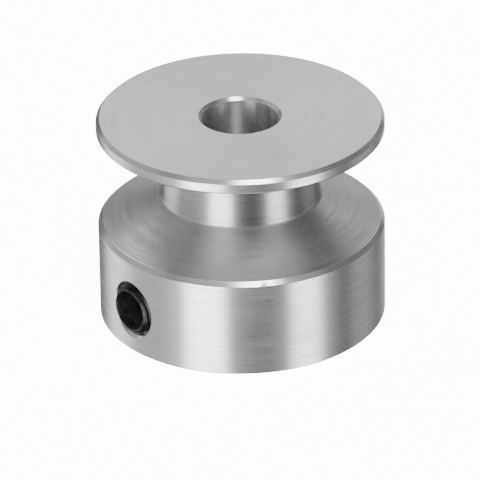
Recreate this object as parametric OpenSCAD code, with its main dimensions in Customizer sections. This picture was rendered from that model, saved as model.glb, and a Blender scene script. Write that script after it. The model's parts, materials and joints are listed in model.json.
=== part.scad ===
// Single-groove V belt pulley, turned in one piece from aluminium bar and
// clamped to its shaft by one radial set screw.
// Millimetres. The shaft axis is Z, the hub's end face lies on z = 0 and the
// free flange is on top. The set screw sits in the hub wall and points along -Y.

/* [Pulley] */
// Outside diameter of the flange and of the hub
outer_d = 30; // [28:0.5:34]
// Overall height, end face to end face
height = 22.4; // [21:0.1:26]
// Height of the hub's straight wall
hub_h = 10.2; // [8.5:0.1:10.5]
// Chamfer on the flange's top edge
flange_chamfer = 0.4; // [0.2:0.05:0.6]
// Height of the flange's edge, chamfer included
flange_edge_h = 1.5; // [1.2:0.1:2]

/* [Belt groove] */
// Diameter of the groove's flat bottom
groove_bottom_d = 16.6; // [15.6:0.1:19]
// Slope of each flank, measured from the plane across the axis
flank_angle = 24.5; // [18:0.5:26]
// Radius between the groove's bottom and each flank
groove_fillet = 0.5; // [0.3:0.1:1.2]
// Chamfer between the hub's wall and the lower flank
hub_chamfer = 0.45; // [0.2:0.05:0.6]

/* [Bore] */
// Shaft diameter that the pulley takes
bore_d = 8; // [5:0.5:9]
// Chamfer at each mouth of the bore
bore_chamfer = 0.35; // [0.2:0.05:0.6]

/* [Set screw] */
// Nominal thread diameter
screw_d = 6; // [5:0.5:6]
// Overall length of the screw
screw_l = 8; // [6:0.5:8]
// Height of the screw's axis above the hub's end face
screw_z = 4.85; // [4.2:0.05:5.2]
// How far the screw's socket end stands out of the hub's wall, less than zero where it lies under it
screw_proud = 0.25; // [-1:0.05:0.4]
// Hexagon socket, across flats
socket_af = 3; // [2.5:0.5:3]
// Depth of the socket's flats
socket_depth = 3.5; // [2:0.5:4]
// Diameter of the socket's countersunk mouth, as far as the screw's end face has room for it
socket_mouth_d = 4.3; // [3.5:0.1:4.4]

/* [Hidden] */

aluminium = [0.74, 0.74, 0.75];
black_oxide = [0.10, 0.10, 0.11];
round_fn = 180;
arc_steps = 10;
over = 1;                 // how far a cutter runs past the face that it opens

outer_r = outer_d / 2;
bore_r = bore_d / 2;
groove_r = groove_bottom_d / 2;
edge_break = 0.2;         // small break on the flange's lower edge
end_break = 0.15;         // small break on the hub's end edge
screw_room = 0.05;        // radial room between the screw's plain body and its hole
screw_end_chamfer = 0.65; // chamfer round the screw's socket end, to just under the thread's root
end_face_min = 0.1;       // least width of the flat between that chamfer and the socket's mouth

// The two flanks where they start at the rim: [radius, height]
lower_rim = [outer_r - hub_chamfer, hub_h + hub_chamfer];
upper_rim = [outer_r - edge_break, height - flange_edge_h];
// Heights at which the flanks' lines would meet the groove's bottom
lower_corner_z = lower_rim[1] + (lower_rim[0] - groove_r) * tan(flank_angle);
upper_corner_z = upper_rim[1] - (upper_rim[0] - groove_r) * tan(flank_angle);

// A fillet touches the straight bottom this far from the corner
fillet_run = groove_fillet * tan((90 - flank_angle) / 2);

// Arc of the lower fillet, from the flank up to the groove's bottom. Mirrored for the upper one.
function fillet_arc(corner_z, side) = [
    for (i = [0 : arc_steps])
        let (a = 270 - flank_angle - (90 - flank_angle) * i / arc_steps)
        [groove_r + groove_fillet + groove_fillet * cos(a),
         corner_z + side * (fillet_run + groove_fillet * sin(a))]
];

function reversed(list) = [for (i = [len(list) - 1 : -1 : 0]) list[i]];

// Half section of the turned body, walked from the bore outwards and up
function pulley_section() = concat(
    [[bore_r, bore_chamfer],
     [bore_r + bore_chamfer, 0],
     [outer_r - end_break, 0],
     [outer_r, end_break],
     [outer_r, hub_h],
     lower_rim],
    fillet_arc(lower_corner_z, 1),
    reversed(fillet_arc(upper_corner_z, -1)),
    [upper_rim,
     [outer_r, upper_rim[1] + edge_break],
     [outer_r, height - flange_chamfer],
     [outer_r - flange_chamfer, height],
     [bore_r + bore_chamfer, height],
     [bore_r, height - bore_chamfer]]
);

// Puts a shape drawn along +Z onto the screw's axis, z measured outwards from the shaft axis
module on_screw_axis() {
    translate([0, 0, screw_z]) rotate([90, 0, 0]) children();
}

// Tapped hole from the hub's wall into the bore, drawn at the thread's major diameter,
// and broken at its mouth where the curved wall stands proud
module set_screw_hole() {
    hole_r = screw_d / 2;
    countersink = 0.15;
    on_screw_axis()
        rotate_extrude($fn = round_fn)
            polygon([
                [0, bore_r / 2],
                [hole_r, bore_r / 2],
                [hole_r, outer_r - countersink],
                [hole_r + countersink + over, outer_r + over],
                [0, outer_r + over]
            ]);
}

module pulley_body() {
    color(aluminium)
        difference() {
            rotate_extrude($fn = round_fn) polygon(pulley_section());
            set_screw_hole();
        }
}

// Half section of the screw's outside, z from the cup point (0) to the socket end
function screw_section(r, cup_r, cup_depth, end_chamfer) = [
    [0, cup_depth],
    [cup_r, 0],
    [r, r - cup_r],
    [r, screw_l - end_chamfer],
    [r - end_chamfer, screw_l],
    [0, screw_l]
];

// Hexagon socket with a countersunk mouth and the drill's cone at its bottom, one corner uppermost
module hex_socket() {
    across_corners = socket_af / cos(30);
    end_face_r = screw_d / 2 - screw_room - screw_end_chamfer;
    mouth_r = min(socket_mouth_d / 2, end_face_r - end_face_min);
    overrun = 0.05;       // how far the mouth's cone runs on inside the flats
    mouth_depth = mouth_r - socket_af / 2 + overrun;
    cone_angle = 30;      // slope of the drill's 120 degree point
    cone_h = socket_af / 2 * tan(cone_angle);
    translate([0, 0, screw_l - socket_depth])
        rotate(30)
            cylinder(d = across_corners, h = socket_depth + over, $fn = 6);
    translate([0, 0, screw_l - socket_depth - cone_h])
        cylinder(d1 = 0, d2 = socket_af, h = cone_h, $fn = round_fn);
    translate([0, 0, screw_l - mouth_depth])
        cylinder(r1 = mouth_r - mouth_depth, r2 = mouth_r + over, h = mouth_depth + over, $fn = round_fn);
}

// Cup point set screw. Its plain body stands for the thread, with screw_room left round it in the hole.
module set_screw() {
    body_r = screw_d / 2 - screw_room;
    cup_r = screw_d / 4;
    cup_depth = 0.8;
    color(black_oxide)
        on_screw_axis()
            translate([0, 0, outer_r + screw_proud - screw_l])
                difference() {
                    rotate_extrude($fn = round_fn)
                        polygon(screw_section(body_r, cup_r, cup_depth, screw_end_chamfer));
                    hex_socket();
                }
}

pulley_body();
set_screw();
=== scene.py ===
import json
import math

import bmesh
import bpy
from mathutils import Matrix, Vector


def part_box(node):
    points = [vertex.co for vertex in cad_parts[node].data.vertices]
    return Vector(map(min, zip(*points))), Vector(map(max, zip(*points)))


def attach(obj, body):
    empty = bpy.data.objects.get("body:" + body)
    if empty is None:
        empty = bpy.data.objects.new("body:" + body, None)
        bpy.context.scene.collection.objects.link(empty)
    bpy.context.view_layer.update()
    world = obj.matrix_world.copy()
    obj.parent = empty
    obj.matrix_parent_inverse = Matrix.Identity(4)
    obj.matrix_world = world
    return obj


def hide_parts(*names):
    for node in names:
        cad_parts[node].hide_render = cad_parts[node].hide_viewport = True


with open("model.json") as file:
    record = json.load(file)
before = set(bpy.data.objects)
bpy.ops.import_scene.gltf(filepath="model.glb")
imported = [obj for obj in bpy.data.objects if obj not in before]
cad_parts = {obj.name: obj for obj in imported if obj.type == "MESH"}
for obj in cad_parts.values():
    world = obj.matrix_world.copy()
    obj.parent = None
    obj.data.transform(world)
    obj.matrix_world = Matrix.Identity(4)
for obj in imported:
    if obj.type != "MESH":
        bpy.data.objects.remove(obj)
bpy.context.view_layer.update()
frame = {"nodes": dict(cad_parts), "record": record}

MM = 0.001

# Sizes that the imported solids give
BODY_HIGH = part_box("pulley_body")[1]
SCREW_LOW, SCREW_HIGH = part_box("set_screw")
OUTER_R = BODY_HIGH.x / MM
HEIGHT = BODY_HIGH.z / MM
SCREW_R = SCREW_HIGH.x / MM
SCREW_Z = (SCREW_LOW.z + SCREW_HIGH.z) / 2 / MM
SCREW_OUT = -SCREW_LOW.y / MM       # distance of the socket end from the shaft axis
SCREW_TIP = -SCREW_HIGH.y / MM      # distance of the cup point from the shaft axis
BORE_R = next(m for m in frame["record"]["mounts"] if m["name"] == "shaft_bore")["dims"]["r_mm"]

# The turned profile, in mm, as in the CAD
BORE_CHAMFER = 0.35
END_BREAK = 0.15
HUB_H = 10.2
HUB_CHAMFER = 0.45
GROOVE_R = 8.3
GROOVE_FILLET = 0.5
FLANK = math.radians(24.5)
FLANGE_EDGE_H = 1.5
EDGE_BREAK = 0.2
FLANGE_CHAMFER = 0.4

# What only the visual body has, in mm
MOUTH_BREAK = 0.20       # depth of the small countersink round the tapped hole
EDGE_ROUND = 0.04        # radius that rounds the small edges
RIM_ROUND = 0.05         # the same at the hub's and the flange's chamfers
NICK_ROWS = (1.4, 1.0, 0.7, 0.45, 0.25)     # rows of points under the hub's edge, which the nick bends
NICK_REACH = 0.5         # how far the nick's dent spreads
NICK_DEPTH = 0.14
NICK_FALL = 1.5          # how steeply its depth falls off
NICK_LEAN = 0.4          # how far it leans down, against inwards
NICK_TURN = math.radians(9.3)   # how far round from the photo's view it lies

# The set screw, in mm, as in the CAD
CUP_R = 1.5
CUP_DEPTH = 0.8
SCREW_END_CHAMFER = 0.65
SOCKET_AF = 3.0
SOCKET_DEPTH = 3.5
SOCKET_MOUTH_R = 2.15
SOCKET_LEAD = 0.70       # depth of the socket's countersunk mouth

# The M6 thread, in mm
PITCH = 1.0
THREAD_ROOM = 0.05
# One pitch of the thread: share of the pitch, depth under the crest
THREAD_ROWS = [(0.05, 0.0), (0.075, 0.022), (0.355, 0.507), (0.39, 0.541),
               (0.61, 0.541), (0.645, 0.507), (0.925, 0.022), (0.95, 0.0)]

# How fine the turned meshes are
BODY_SEGMENTS = 288
TOOL_SEGMENTS = 96
DRILL_SEGMENTS = 48
ON_AXIS = 1e-6           # mm: a point of an outline nearer than this to the axis lies on it
SAME_POINT = 2e-7        # metres: points nearer than this are joined after the cuts
SLIVER = 1e-7            # metres: an edge shorter than this is dissolved

# How far a face's centre may lie from a surface of the body and still belong to it, in mm
STEP_SLACK = 0.01
END_SLACK = 0.012
EDGE_SLACK = 0.02
WALL_SLACK = 0.03
MOUTH_SLACK = 0.05
CHAMFER_SLACK = 0.06
HOLE_REACH = 0.4         # the same round the tapped hole, which takes in its countersink
SKIN = 0.003             # a face of the hole lies at least this far under the hub's wall
STRAIGHT_OUT = 0.97      # cosine: a face that looks straight away from the shaft axis is not in the hole

# The camera, fitted to the photo's outlines: degrees, and mm from the centre of the top face
CAM_AZIMUTH = math.radians(50.3)
CAM_ELEVATION = math.radians(28.02)
CAM_ROLL = math.radians(0.87)
CAM_DISTANCE = 596.0
CAM_ACROSS = 0.20
CAM_DROP = 12.93
CAM_LENS = 431.8


# ---------------------------------------------------------------- camera

def view_axes():
    """Unit vectors to the right, up and back towards the camera, before its roll."""
    a, e = CAM_AZIMUTH, CAM_ELEVATION
    right = Vector((math.cos(a), math.sin(a), 0))
    back = Vector((math.sin(a) * math.cos(e), -math.cos(a) * math.cos(e), math.sin(e)))
    return right, back.cross(right), back


def make_camera():
    """The camera that stands where the photo's camera stood."""
    right, up, back = view_axes()
    data = bpy.data.cameras.new("photo_camera")
    cam = bpy.data.objects.new("photo_camera", data)
    bpy.context.scene.collection.objects.link(cam)
    data.sensor_width = 36
    data.lens = CAM_LENS
    data.clip_start = 0.05
    data.clip_end = 20
    place = Vector((0, 0, HEIGHT)) + CAM_DISTANCE * back - CAM_ACROSS * right - CAM_DROP * up
    c, s = math.cos(CAM_ROLL), math.sin(CAM_ROLL)
    turned = Matrix((c * right - s * up, s * right + c * up, back)).transposed()
    cam.matrix_world = Matrix.Translation(place * MM) @ turned.to_4x4()
    bpy.context.scene.camera = cam


# ---------------------------------------------------------------- meshes

def mesh_object(name, verts, faces):
    """A mesh in metres from points in mm, with its normals outwards."""
    mesh = bpy.data.meshes.new(name)
    mesh.from_pydata([Vector(v) * MM for v in verts], [], faces)
    bm = bmesh.new()
    bm.from_mesh(mesh)
    bmesh.ops.recalc_face_normals(bm, faces=bm.faces)
    bm.to_mesh(mesh)
    bm.free()
    obj = bpy.data.objects.new(name, mesh)
    bpy.context.scene.collection.objects.link(obj)
    return obj


def eased(points, radii, steps=3, land=0.035):
    """The closed outline with each corner rounded by its radius. Two more points just off each arc
    keep the smooth shading of the long faces flat."""
    out = []
    n = len(points)
    for i in range(n):
        p = Vector(points[i])
        if radii[i] <= 0:
            out.append(tuple(p))
            continue
        a = (Vector(points[i - 1]) - p).normalized()
        b = (Vector(points[(i + 1) % n]) - p).normalized()
        half = math.acos(max(-1, min(1, a.dot(b)))) / 2
        run = radii[i] / math.tan(half)
        centre = p + (a + b).normalized() * radii[i] / math.sin(half)
        out.append(tuple(p + a * (run + land)))
        start, end = p + a * run - centre, p + b * run - centre
        whole = start.angle(end)
        for k in range(steps + 1):
            t = k / steps
            d = (math.sin((1 - t) * whole) * start + math.sin(t * whole) * end) / math.sin(whole)
            out.append(tuple(centre + d))
        out.append(tuple(p + b * (run + land)))
    return out


def lathe(name, outline, segments):
    """Revolves a closed outline of (radius, height) points round Z. Points on the axis become one vertex."""
    verts, rings = [], []
    for r, z in outline:
        if r < ON_AXIS:
            rings.append([len(verts)] * segments)
            verts.append((0, 0, z))
            continue
        rings.append(list(range(len(verts), len(verts) + segments)))
        verts += [(r * math.cos(2 * math.pi * i / segments), r * math.sin(2 * math.pi * i / segments), z)
                  for i in range(segments)]
    faces = []
    for ring, after in zip(rings, rings[1:] + rings[:1]):
        for i in range(segments):
            j = (i + 1) % segments
            quad = [ring[i], ring[j], after[j], after[i]]
            face = list(dict.fromkeys(quad))
            if len(face) > 2:
                faces.append(face)
    return mesh_object(name, verts, faces)


def threaded_rod(name, crest_r, low, high, columns=96):
    """A closed right-hand threaded rod along Z. Its rows of points follow the helix, so crests and roots
    are true edges."""
    rows = [(turn + share, depth)
            for turn in range(int(math.ceil((high - low) / PITCH)))
            for share, depth in THREAD_ROWS]
    step = len(THREAD_ROWS)
    verts = []
    for share, depth in rows:
        for i in range(columns):
            a = 2 * math.pi * i / columns
            r = crest_r - depth
            verts.append((r * math.cos(a), r * math.sin(a), low + (share + i / columns) * PITCH))

    def at(k, i):
        return k * columns + i

    faces = []
    last = len(rows) - 1
    for k in range(last):
        for i in range(columns - 1):
            faces.append([at(k, i), at(k, i + 1), at(k + 1, i + 1), at(k + 1, i)])
    for k in range(last - step):
        faces.append([at(k, columns - 1), at(k + step, 0), at(k + step + 1, 0), at(k + 1, columns - 1)])
    foot = [at(0, i) for i in range(columns)] + [at(k, 0) for k in range(step, 0, -1)]
    head = [at(last, i) for i in range(columns - 1, -1, -1)]
    head += [at(k, columns - 1) for k in range(last - step, last)]
    for loop in (foot, head):
        zs = [verts[v][2] for v in loop]
        hub = len(verts)
        verts.append((0, 0, sum(zs) / len(zs)))
        for a, b in zip(loop, loop[1:] + loop[:1]):
            faces.append([a, b, hub])
    return mesh_object(name, verts, faces)


def onto_screw_axis(obj):
    """Turns a mesh made along Z onto the screw's axis, which points along -Y from the shaft axis."""
    turn = Matrix.Translation((0, 0, SCREW_Z * MM)) @ Matrix.Rotation(math.radians(90), 4, "X")
    obj.data.transform(turn)
    return obj


def cut(obj, tool, operation="DIFFERENCE"):
    """Applies one exact boolean and removes the tool."""
    mod = obj.modifiers.new("cut", "BOOLEAN")
    mod.operation = operation
    mod.solver = "EXACT"
    mod.object = tool
    bpy.context.view_layer.update()
    graph = bpy.context.evaluated_depsgraph_get()
    made = bpy.data.meshes.new_from_object(obj.evaluated_get(graph))
    obj.modifiers.clear()
    obj.data = made
    bpy.data.objects.remove(tool)


def tidy(obj, sharp_degrees=30):
    """Joins doubled points, drops slivers and sets smooth shading with true edges."""
    bm = bmesh.new()
    bm.from_mesh(obj.data)
    bmesh.ops.remove_doubles(bm, verts=bm.verts, dist=SAME_POINT)
    bmesh.ops.dissolve_degenerate(bm, dist=SLIVER, edges=bm.edges)
    bm.to_mesh(obj.data)
    bm.free()
    for p in obj.data.polygons:
        p.use_smooth = True
    obj.data.set_sharp_from_angle(angle=math.radians(sharp_degrees))


# ---------------------------------------------------------------- the two pieces
# The tools that cut them run 0.2 to 3 mm past the faces that they open.

def groove_arc(side, corner_z, steps=8):
    """The fillet between a flank and the groove's bottom, walked from the flank inwards."""
    run = GROOVE_FILLET * math.tan((math.pi / 2 - FLANK) / 2)
    out = []
    for i in range(steps + 1):
        a = 1.5 * math.pi - FLANK - (math.pi / 2 - FLANK) * i / steps
        out.append((GROOVE_R + GROOVE_FILLET * (1 + math.cos(a)),
                    corner_z + side * (run + GROOVE_FILLET * math.sin(a))))
    return out


def body_outline():
    """The turned body's half section, walked from the bore outwards and up."""
    lower = (OUTER_R - HUB_CHAMFER, HUB_H + HUB_CHAMFER)
    upper = (OUTER_R - EDGE_BREAK, HEIGHT - FLANGE_EDGE_H)
    low_corner = lower[1] + (lower[0] - GROOVE_R) * math.tan(FLANK)
    high_corner = upper[1] - (upper[0] - GROOVE_R) * math.tan(FLANK)
    corners = [
        ((BORE_R, BORE_CHAMFER), EDGE_ROUND),
        ((BORE_R + BORE_CHAMFER, 0), EDGE_ROUND),
        ((OUTER_R - END_BREAK, 0), EDGE_ROUND),
        ((OUTER_R, END_BREAK), EDGE_ROUND),
    ]
    corners += [((OUTER_R, HUB_H - under), 0) for under in NICK_ROWS]
    corners += [((OUTER_R, HUB_H), RIM_ROUND), (lower, RIM_ROUND)]
    corners += [(p, 0) for p in groove_arc(1, low_corner)]
    corners += [(p, 0) for p in reversed(groove_arc(-1, high_corner))]
    corners += [
        (upper, EDGE_ROUND),
        ((OUTER_R, upper[1] + EDGE_BREAK), EDGE_ROUND),
        ((OUTER_R, HEIGHT - FLANGE_CHAMFER), RIM_ROUND),
        ((OUTER_R - FLANGE_CHAMFER, HEIGHT), RIM_ROUND),
        ((BORE_R + BORE_CHAMFER, HEIGHT), EDGE_ROUND),
        ((BORE_R, HEIGHT - BORE_CHAMFER), EDGE_ROUND),
    ]
    return eased([c[0] for c in corners], [c[1] for c in corners])


def surface_of(r, z, in_hole):
    """Which of the body's materials a face takes, from its centre's radius and height and whether it is
    inside the tapped hole."""
    if in_hole:
        return "thread"
    if r < BORE_R + EDGE_SLACK:
        return "bore"
    flat = z > HEIGHT - END_SLACK or z < END_SLACK
    if flat and BORE_R + BORE_CHAMFER - MOUTH_SLACK < r < OUTER_R - END_BREAK:
        return "face"
    if r < BORE_R + BORE_CHAMFER + MOUTH_SLACK:
        return "chamfer"
    on_hub = HUB_H - STEP_SLACK < z < HUB_H + HUB_CHAMFER + EDGE_SLACK
    if on_hub and r > OUTER_R - HUB_CHAMFER - CHAMFER_SLACK:
        return "chamfer"
    if z > HEIGHT - FLANGE_CHAMFER - STEP_SLACK and r > OUTER_R - FLANGE_CHAMFER - CHAMFER_SLACK:
        return "chamfer"
    if z < END_BREAK + EDGE_SLACK:
        return "chamfer"
    rim = HEIGHT - FLANGE_EDGE_H
    if rim - EDGE_SLACK < z < rim + EDGE_BREAK + EDGE_SLACK and r > OUTER_R - EDGE_BREAK - WALL_SLACK:
        return "chamfer"
    if r > OUTER_R - WALL_SLACK:
        return "wall"
    if r < GROOVE_R + WALL_SLACK:
        return "groove"
    return "flank"


def make_body(materials):
    """The turned body with its tapped hole, the small countersink round it and the nick in the hub."""
    body = lathe("pulley_turned", body_outline(), BODY_SEGMENTS)
    hole_r = SCREW_R + THREAD_ROOM
    hole = threaded_rod("hole_tool", hole_r, SCREW_TIP % PITCH, OUTER_R + 3)
    cut(body, onto_screw_axis(hole))
    apex = OUTER_R - MOUTH_BREAK - hole_r       # where the countersink's cone would end in a point
    end = OUTER_R + 2
    cone = lathe("mouth_tool", [(0, apex), (end - apex, end), (0, end)], TOOL_SEGMENTS)
    cut(body, onto_screw_axis(cone))
    nick(body)
    tidy(body)
    give_finishes_and_shade(body, materials, hole_r, apex)
    return body


def give_finishes_and_shade(body, materials, hole_r, apex):
    """Gives each of the body's faces the finish of the surface that it belongs to; those of the groove, the
    flank, the bore and the tapped hole carry painted shade in their base levels.
    """
    names = sorted(materials)
    for name in names:
        body.data.materials.append(materials[name])
    for face in body.data.polygons:
        c = face.center / MM
        radius = math.hypot(c.x, c.y)
        away = math.hypot(c.x, c.z - SCREW_Z)
        inside = c.y < 0 and away < hole_r + HOLE_REACH and BORE_R < radius < OUTER_R - SKIN
        facing = abs(face.normal.normalized().dot(Vector((c.x, c.y, 0)).normalized()))
        key = surface_of(radius, c.z, inside and facing < STRAIGHT_OUT)
        if key == "thread" and abs(away + c.y + apex) < WALL_SLACK:
            key = "chamfer"
        face.material_index = names.index(key)


def nick(body):
    """A small dent in the lower edge of the hub's chamfer, in front."""
    angle = CAM_AZIMUTH - math.pi / 2 + NICK_TURN
    at = Vector((OUTER_R * math.cos(angle), OUTER_R * math.sin(angle), HUB_H))
    for v in body.data.vertices:
        d = (v.co / MM - at).length
        if d < NICK_REACH:
            push = NICK_DEPTH * (1 - d / NICK_REACH) ** NICK_FALL
            v.co -= Vector((math.cos(angle), math.sin(angle), NICK_LEAN)) * push * MM


def screw_envelope(low, high):
    """Half section of the screw round its thread, from the cup point up. Its edges are eased by the few
    hundredths of a millimetre written at each point."""
    clear = 0.2                     # how far it stays outside the thread's crests
    side = SCREW_R + clear
    end_r = SCREW_R - SCREW_END_CHAMFER
    return [(0, low + CUP_DEPTH), (CUP_R - 0.06, low + 0.05), (CUP_R, low), (CUP_R + 0.05, low + 0.01),
            (side, low + side - CUP_R), (side, high - SCREW_END_CHAMFER - clear),
            (end_r + 0.04, high - 0.04), (end_r - 0.03, high), (0, high)]


def make_screw(material):
    """The set screw, cut out of a threaded rod that starts two turns below its cup point. The hole's thread
    starts whole turns further in, so the two mesh."""
    low, high = SCREW_TIP, SCREW_OUT
    screw = threaded_rod("set_screw_threaded", SCREW_R, low - PITCH * 2, high + 2)
    cut(screw, lathe("envelope", screw_envelope(low, high), TOOL_SEGMENTS), "INTERSECT")

    corner = SOCKET_AF / math.cos(math.radians(30)) / 2
    bottom, top = high - SOCKET_DEPTH, high + 1
    hexagon = lathe("socket_tool", [(0, bottom), (corner, bottom), (corner, top), (0, top)], 6)
    hexagon.data.transform(Matrix.Rotation(math.radians(30), 4, "Z"))       # one corner uppermost
    cut(screw, hexagon)

    # The drill's 120 degree point is as wide as the flats, less a hair that keeps the two cuts apart
    point = SOCKET_AF / 2 * math.tan(math.radians(30))
    drill = [(0, bottom - point), (SOCKET_AF / 2 - 0.002, bottom + 0.001), (0, bottom + 0.2)]
    cut(screw, lathe("drill_tool", drill, DRILL_SEGMENTS))

    foot, over = high - SOCKET_LEAD, 0.5
    lead = [(0, foot), (SOCKET_MOUTH_R - SOCKET_LEAD, foot), (SOCKET_MOUTH_R + over, high + over),
            (0, high + over)]
    cut(screw, lathe("lead_tool", lead, TOOL_SEGMENTS))
    onto_screw_axis(screw)
    tidy(screw, sharp_degrees=28)
    screw.data.materials.append(material)
    return screw


# ---------------------------------------------------------------- materials

class Nodes:
    """A short way to write shader nodes."""

    def __init__(self, tree):
        self.tree = tree
        tree.nodes.clear()

    def add(self, kind, **settings):
        node = self.tree.nodes.new(kind)
        for k, v in settings.items():
            setattr(node, k, v)
        return node

    def put(self, socket, value):
        if isinstance(value, bpy.types.NodeSocket):
            self.tree.links.new(value, socket)
        else:
            socket.default_value = value

    def math(self, operation, a, b=0.0):
        node = self.add("ShaderNodeMath", operation=operation)
        self.put(node.inputs[0], a)
        self.put(node.inputs[1], b)
        return node.outputs[0]

    def span(self, value, from_low, from_high, to_low=0.0, to_high=1.0):
        """A soft step: to_low where the value is from_low, to_high where it is from_high."""
        node = self.add("ShaderNodeMapRange", interpolation_type="SMOOTHSTEP")
        for name, v in zip(("Value", "From Min", "From Max", "To Min", "To Max"),
                           (value, from_low, from_high, to_low, to_high)):
            self.put(node.inputs[name], v)
        return node.outputs[0]

    def noise(self, vector, scale, detail, rough, fourth=None):
        node = self.add("ShaderNodeTexNoise", noise_dimensions="3D" if fourth is None else "4D")
        self.put(node.inputs["Vector"], vector)
        if fourth is not None:
            self.put(node.inputs["W"], fourth)
        self.put(node.inputs["Scale"], scale)
        self.put(node.inputs["Detail"], detail)
        self.put(node.inputs["Roughness"], rough)
        return node.outputs[0]

    def mix(self, share, a, b):
        """Two colours mixed. The node's colour sockets are its inputs 6 and 7 and its output 2."""
        node = self.add("ShaderNodeMix", data_type="RGBA")
        self.put(node.inputs[0], share)
        self.put(node.inputs[6], a)
        self.put(node.inputs[7], b)
        return node.outputs[2]

    def bump(self, height, strength, distance, normal=None):
        node = self.add("ShaderNodeBump")
        self.put(node.inputs["Strength"], strength)
        self.put(node.inputs["Distance"], distance)
        self.put(node.inputs["Height"], height)
        if normal is not None:
            self.put(node.inputs["Normal"], normal)
        return node.outputs[0]


COOL = 1.004             # the blue of each grey, against its red and green
QUARTER_TURN = 0.25
MARK_FADE = 0.03         # how fast tool marks change along their length, against across it
MARKS_FINE = 0.82        # the fine marks' share, the wide ones have the rest
MARKS_WIDE = 1 - MARKS_FINE
WIDE_PITCH = 0.17        # how closely the wide marks lie, against the fine ones
CHATTER_PITCH = 0.7      # the same for the changes in roughness
CHATTER = (1.20, 0.84)   # roughness at the low and the high end of those changes, against its mean
STAIN_SHADE = 0.02       # how far the stains darken and lighten the metal
STAIN_ROUGH = (-0.015, 0.03)    # what they add to its roughness, at the low and the high end
# Sizes of what isn't a tool mark, as noise cells per metre
STAIN_SCALE = 160
GRIT_SCALE = 4200
BLOTCH_SCALE = 900
GRAIN_SCALE = 7000


def grey(level):
    """A grey that is very slightly cool."""
    return (level, level, level * COOL, 1)


def turned_aluminium(name, base, rough, grain, rings_per_mm, ring_height, streak, grit_height):
    """Turned aluminium. The tool marks run round the shaft axis; small stains and fine grit lie across
    them."""
    m = bpy.data.materials.new(name)
    m.use_nodes = True
    n = Nodes(m.node_tree)
    place = n.add("ShaderNodeTexCoord").outputs["Object"]
    xyz = n.add("ShaderNodeSeparateXYZ")
    n.put(xyz.inputs[0], place)
    x, y, z = xyz.outputs
    radius = n.math("SQRT", n.math("ADD", n.math("MULTIPLY", x, x), n.math("MULTIPLY", y, y)))
    slow = n.add("ShaderNodeCombineXYZ")       # the marks change slowly round the axis, so each one fades out
    n.put(slow.inputs[0], n.math("MULTIPLY", x, MARK_FADE))
    n.put(slow.inputs[1], n.math("MULTIPLY", y, MARK_FADE))
    n.put(slow.inputs[2], z)
    cells = rings_per_mm / MM                  # of the fine marks' noise, per metre
    fine = n.noise(slow.outputs[0], cells, 3.0, 0.6, radius)
    wide = n.noise(slow.outputs[0], cells * WIDE_PITCH, 2.0, 0.5, radius)
    marks = n.math("ADD", n.math("MULTIPLY", fine, MARKS_FINE), n.math("MULTIPLY", wide, MARKS_WIDE))
    stain = n.noise(place, STAIN_SCALE, 3.0, 0.55)
    chatter = n.noise(slow.outputs[0], cells * CHATTER_PITCH, 2.0, 0.6, n.math("ADD", radius, 1.0))
    shade = n.math("ADD", n.span(marks, 0.3, 0.7, 1 - streak * 2, 1.0),
                   n.span(stain, 0.3, 0.7, -STAIN_SHADE, STAIN_SHADE))
    colour = n.add("ShaderNodeCombineColor")
    for socket, level in zip(colour.inputs, (base, base, base * COOL)):
        n.put(socket, n.math("MULTIPLY", shade, level))
    shader = n.add("ShaderNodeBsdfPrincipled")
    n.put(shader.inputs["Base Color"], colour.outputs[0])
    n.put(shader.inputs["Metallic"], 1.0)
    uneven = n.math("ADD", n.span(chatter, 0.3, 0.7, rough * CHATTER[0], rough * CHATTER[1]),
                    n.span(stain, 0.35, 0.7, *STAIN_ROUGH))
    n.put(shader.inputs["Roughness"], uneven)
    n.put(shader.inputs["Anisotropic"], grain)
    n.put(shader.inputs["Anisotropic Rotation"], QUARTER_TURN)
    tangent = n.add("ShaderNodeTangent", direction_type="RADIAL", axis="Z")
    n.put(shader.inputs["Tangent"], tangent.outputs[0])
    relief = n.bump(marks, 1.0, ring_height * MM)
    grit = n.noise(place, GRIT_SCALE, 2.0, 0.6)
    relief = n.bump(grit, 1.0, grit_height * MM, relief)
    n.put(shader.inputs["Normal"], relief)
    out = n.add("ShaderNodeOutputMaterial")
    n.put(out.inputs[0], shader.outputs[0])
    return m


# The black oxide's levels of grey
SKIN_DARK = 0.018
SKIN_LIGHT = 0.045
# Painted shade in the socket: its darkest grey, at the mouth and the bottom, and the paler grey of its flats
# midway down
SOCKET_SHADE_GREY = 0.013
SOCKET_FLATS_GREY = 0.13
# The grey of the worn crests and of the lighter edge lines, which are partly wear and partly painted
# highlight
WEAR_AND_HIGHLIGHT_GREY = 0.22
EDGE_WEAR_AND_HIGHLIGHT = 0.4           # how bright the lighter lines along the edges of the socket end are, partly wear and partly painted highlight, against the thread's crests
# Where the wear and the painted highlight lines lie, in mm
CREST_BAND = (0.05, 0.005)      # depths under the crests where that begins and where it is full
EDGE_BAND = (0.015, 0.05)       # distances from an edge where it is full and where it ends
# Its relief, in mm
BLOTCH_HEIGHT = 0.012
GRAIN_HEIGHT = 0.004
# Where the socket's painted shade changes, in mm
SOCKET_SHADE_R = 2.00     # inside this radius its walls take the painted shade instead of the skin and its wear
SOCKET_BLEND = 0.12      # width over which that begins
SOCKET_FLATS = (0.5, 0.9)       # depths over which the darker painted shade at the mouth gives way to the paler flats
SOCKET_FOOT = (1.9, 2.9)        # depths over which the flats give way to the painted shade at the bottom


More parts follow.
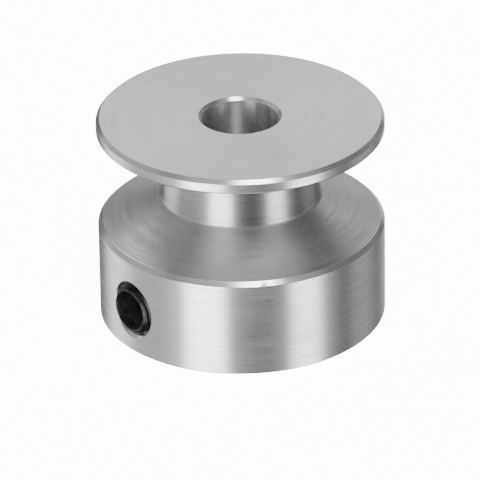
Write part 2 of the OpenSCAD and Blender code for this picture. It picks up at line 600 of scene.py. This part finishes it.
def black_oxide(name):
    """Black oxide steel: dark and slightly oily, worn brighter on the crests of the thread, with lighter
    lines along the outer edges of the socket end that are partly wear and partly painted highlight. The
    socket's walls carry painted shade."""
    m = bpy.data.materials.new(name)
    m.use_nodes = True
    n = Nodes(m.node_tree)
    place = n.add("ShaderNodeTexCoord").outputs["Object"]
    xyz = n.add("ShaderNodeSeparateXYZ")
    n.put(xyz.inputs[0], place)
    x, y, z = xyz.outputs
    up = n.math("SUBTRACT", z, SCREW_Z * MM)
    away = n.math("SQRT", n.math("ADD", n.math("MULTIPLY", x, x), n.math("MULTIPLY", up, up)))
    blotch = n.noise(place, BLOTCH_SCALE, 4.0, 0.6)
    grain = n.noise(place, GRAIN_SCALE, 3.0, 0.6)
    crest = n.span(away, *[(SCREW_R - under) * MM for under in CREST_BAND])
    wear_and_highlight = n.math("MULTIPLY", crest, n.span(blotch, 0.42, 0.62))
    # Lighter lines along the edge of the socket's mouth and of the end chamfer: partly wear, partly painted
    # highlight
    for edge in (SOCKET_MOUTH_R, SCREW_R - SCREW_END_CHAMFER):
        off = n.math("ABSOLUTE", n.math("SUBTRACT", away, edge * MM))
        near = n.span(off, EDGE_BAND[0] * MM, EDGE_BAND[1] * MM, 1.0, 0.0)
        line = n.math("MULTIPLY", near, n.span(blotch, 0.38, 0.60))
        wear_and_highlight = n.math("MAXIMUM", wear_and_highlight, n.math("MULTIPLY", line, EDGE_WEAR_AND_HIGHLIGHT))
    shader = n.add("ShaderNodeBsdfPrincipled")
    skin = n.mix(n.span(blotch, 0.35, 0.7), grey(SKIN_DARK), grey(SKIN_LIGHT))
    # Painted shade inside the socket: dark at the mouth, paler on the flats midway down, dark again at the
    # bottom
    flats, foot = [n.span(y, (start - SCREW_OUT) * MM, (end - SCREW_OUT) * MM)
                   for start, end in (SOCKET_FLATS, SOCKET_FOOT)]
    socket = n.mix(foot, n.mix(flats, grey(SOCKET_SHADE_GREY), grey(SOCKET_FLATS_GREY)), grey(SOCKET_SHADE_GREY))
    # The mask of the socket's painted shade: full inside its radius, where the metal is also rougher
    inside = n.span(away, SOCKET_SHADE_R * MM, (SOCKET_SHADE_R + SOCKET_BLEND) * MM, 1.0, 0.0)
    n.put(shader.inputs["Base Color"], n.mix(inside, n.mix(wear_and_highlight, skin, grey(WEAR_AND_HIGHLIGHT_GREY)), socket))
    n.put(shader.inputs["Metallic"], 0.85)
    n.put(shader.inputs["Specular IOR Level"], 0.3)
    rough = n.math("ADD", n.span(blotch, 0.3, 0.75, 0.27, 0.42), n.math("MULTIPLY", inside, 0.35))
    n.put(shader.inputs["Roughness"], rough)
    relief = n.bump(blotch, 0.3, BLOTCH_HEIGHT * MM)
    n.put(shader.inputs["Normal"], n.bump(grain, 0.35, GRAIN_HEIGHT * MM, relief))
    out = n.add("ShaderNodeOutputMaterial")
    n.put(out.inputs[0], shader.outputs[0])
    return m


# ---------------------------------------------------------------- studio

FLOOR_HALF = 6.0         # metres
FLOOR_Z = -0.00002       # metres: just under the end face, so the two don't share a plane
FLOOR_SHADE = 0.9
FLOOR_GLOW = 13.0        # its own light, which keeps it evenly pale


def make_floor():
    """A plain pale floor. It stays out of the metal's reflections, which show the studio's light tent."""
    half = FLOOR_HALF
    mesh = bpy.data.meshes.new("floor")
    corners = [(-half, -half, 0), (half, -half, 0), (half, half, 0), (-half, half, 0)]
    mesh.from_pydata(corners, [], [(0, 1, 2, 3)])
    floor = bpy.data.objects.new("floor", mesh)
    bpy.context.scene.collection.objects.link(floor)
    floor.location.z = FLOOR_Z
    m = bpy.data.materials.new("white_card")
    m.use_nodes = True
    n = Nodes(m.node_tree)
    matt = n.add("ShaderNodeBsdfDiffuse")
    n.put(matt.inputs[0], grey(FLOOR_SHADE))
    glow = n.add("ShaderNodeEmission")
    n.put(glow.inputs["Color"], grey(1.0))
    n.put(glow.inputs["Strength"], FLOOR_GLOW)
    both = n.add("ShaderNodeAddShader")
    n.put(both.inputs[0], matt.outputs[0])
    n.put(both.inputs[1], glow.outputs[0])
    out = n.add("ShaderNodeOutputMaterial")
    n.put(out.inputs[0], both.outputs[0])
    mesh.materials.append(m)
    floor.visible_glossy = False
    floor.visible_diffuse = False


# Tall soft panels round the object: degrees from the camera's side, counter-clockwise; half width of the
# full light; half width where it has faded out; brightness
PANELS = [
    (-30, 0, 21, 7.5),
    (-30, 0, 40, 0.65),
    (51, 0, 17, 4.0),
    (52, 0, 34, 0.50),
    (-117, 6, 22, 1.6),
    (-73, 14, 34, 0.60),
    (110, 6, 21, 0.26),
    (172, 6, 29, 0.75),
]
DIM = 0.17               # what is between the panels
BACK = (167, 18, 40, 1.05)      # the tent's back wall: degrees round, inner and outer half width, brightness
# Where the panels and the back wall fade in and out, as sines of the elevation
PANEL_FOOT = (-0.74, -0.50)
PANEL_TOP = (0.05, 0.40)
BACK_FOOT = (0.28, 0.44)
BACK_TOP = (0.60, 0.82)
# Round diffusers: degrees round, elevation, inner and outer half angle, brightness
LAMPS = [
    (17, 61, 6, 14, 10.0),
    (-40, 57, 3, 20, 0.40),
    (60, 54, 3, 20, 0.22),
    (-102, 36, 8, 34, 0.25),
    (-144, 47, 4, 17, 2.6),
]


def make_studio():
    """The light tent: a world of soft panels, a back wall and round diffusers."""
    world = bpy.data.worlds.new("light_tent")
    bpy.context.scene.world = world
    world.use_nodes = True
    n = Nodes(world.node_tree)
    way = n.add("ShaderNodeTexCoord").outputs["Generated"]
    unit = n.add("ShaderNodeVectorMath", operation="NORMALIZE")
    n.put(unit.inputs[0], way)
    xyz = n.add("ShaderNodeSeparateXYZ")
    n.put(xyz.inputs[0], unit.outputs[0])
    level = n.add("ShaderNodeVectorMath", operation="MULTIPLY")
    n.put(level.inputs[0], unit.outputs[0])
    n.put(level.inputs[1], (1, 1, 0))
    flat = n.add("ShaderNodeVectorMath", operation="NORMALIZE")
    n.put(flat.inputs[0], level.outputs[0])

    def heading(degrees):
        a = CAM_AZIMUTH - math.pi / 2 + math.radians(degrees)
        return Vector((math.cos(a), math.sin(a), 0))

    def towards(source, direction):
        dot = n.add("ShaderNodeVectorMath", operation="DOT_PRODUCT")
        n.put(dot.inputs[0], source)
        n.put(dot.inputs[1], direction)
        return dot.outputs["Value"]

    def cone(source, direction, inner, outer):
        edge, full = math.cos(math.radians(outer)), math.cos(math.radians(inner))
        return n.span(towards(source, direction), edge, full)

    height = xyz.outputs[2]
    low = n.math("MULTIPLY", n.span(height, *PANEL_TOP, 1.0, 0.0), n.span(height, *PANEL_FOOT))
    light = DIM
    for centre, inner, outer, power in PANELS:
        glow = n.math("MULTIPLY", cone(flat.outputs[0], heading(centre), inner, outer), power)
        light = n.math("ADD", n.math("MULTIPLY", glow, low), light)
    centre, inner, outer, power = BACK
    wall = n.math("MULTIPLY", cone(flat.outputs[0], heading(centre), inner, outer), power)
    rise = n.math("MULTIPLY", n.span(height, *BACK_FOOT), n.span(height, *BACK_TOP, 1.0, 0.0))
    light = n.math("ADD", n.math("MULTIPLY", wall, rise), light)
    for centre, elevation, inner, outer, power in LAMPS:
        e = math.radians(elevation)
        aim = heading(centre) * math.cos(e) + Vector((0, 0, math.sin(e)))
        light = n.math("ADD", n.math("MULTIPLY", cone(unit.outputs[0], aim, inner, outer), power), light)
    back = n.add("ShaderNodeBackground")
    n.put(back.inputs["Color"], grey(1.0))
    n.put(back.inputs["Strength"], light)
    out = n.add("ShaderNodeOutputWorld")
    n.put(out.inputs[0], back.outputs[0])


# ---------------------------------------------------------------- finishes, some with painted shade

# Each finish: name; base level, roughness, how far it follows the marks, marks per mm, their height in mm,
# how far they darken it, height of the fine grit in mm
GRIT = 0.0002
# The groove, the flank, the bore and the tapped thread take lower base levels than the wall: painted shade,
# for the shade in the groove under the flange and inside the bore and the tapped hole
FINISHES_AND_SHADE = {
    "wall": ("aluminium_turned_wall", 0.92, 0.32, 0.94, 9.0, 0.0018, 0.075, 0.0009),
    "groove": ("aluminium_groove_bottom_painted_shade", 0.66, 0.33, 0.92, 9.0, 0.0020, 0.11, 0.0014),
    "flank": ("aluminium_turned_flank_painted_shade", 0.56, 0.42, 0.50, 6.0, 0.0012, 0.06, GRIT),
    "face": ("aluminium_faced_end", 0.88, 0.34, 0.38, 6.5, 0.0016, 0.04, GRIT),
    "chamfer": ("aluminium_chamfer", 0.90, 0.24, 0.50, 9.0, 0.0004, 0.03, 0.0),
    "bore": ("aluminium_reamed_bore_painted_shade", 0.78, 0.35, 1.00, 8.0, 0.0006, 0.03, 0.0),
    "thread": ("aluminium_tapped_thread_painted_shade", 0.60, 0.24, 0.30, 6.0, 0.0006, 0.06, GRIT),
}


# ---------------------------------------------------------------- put together

make_camera()
make_studio()
make_floor()

ALUMINIUM = {surface: turned_aluminium(*finish) for surface, finish in FINISHES_AND_SHADE.items()}
BLACK = black_oxide("black_oxide_steel")

body = make_body(ALUMINIUM)
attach(body, "pulley")
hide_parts("pulley_body")

screw = make_screw(BLACK)
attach(screw, "screw")
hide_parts("set_screw")

# The hidden CAD nodes carry the same finishes
for node, finish in (("pulley_body", ALUMINIUM["wall"]), ("set_screw", BLACK)):
    solid = frame["nodes"][node]
    solid.data.materials.clear()
    solid.data.materials.append(finish)
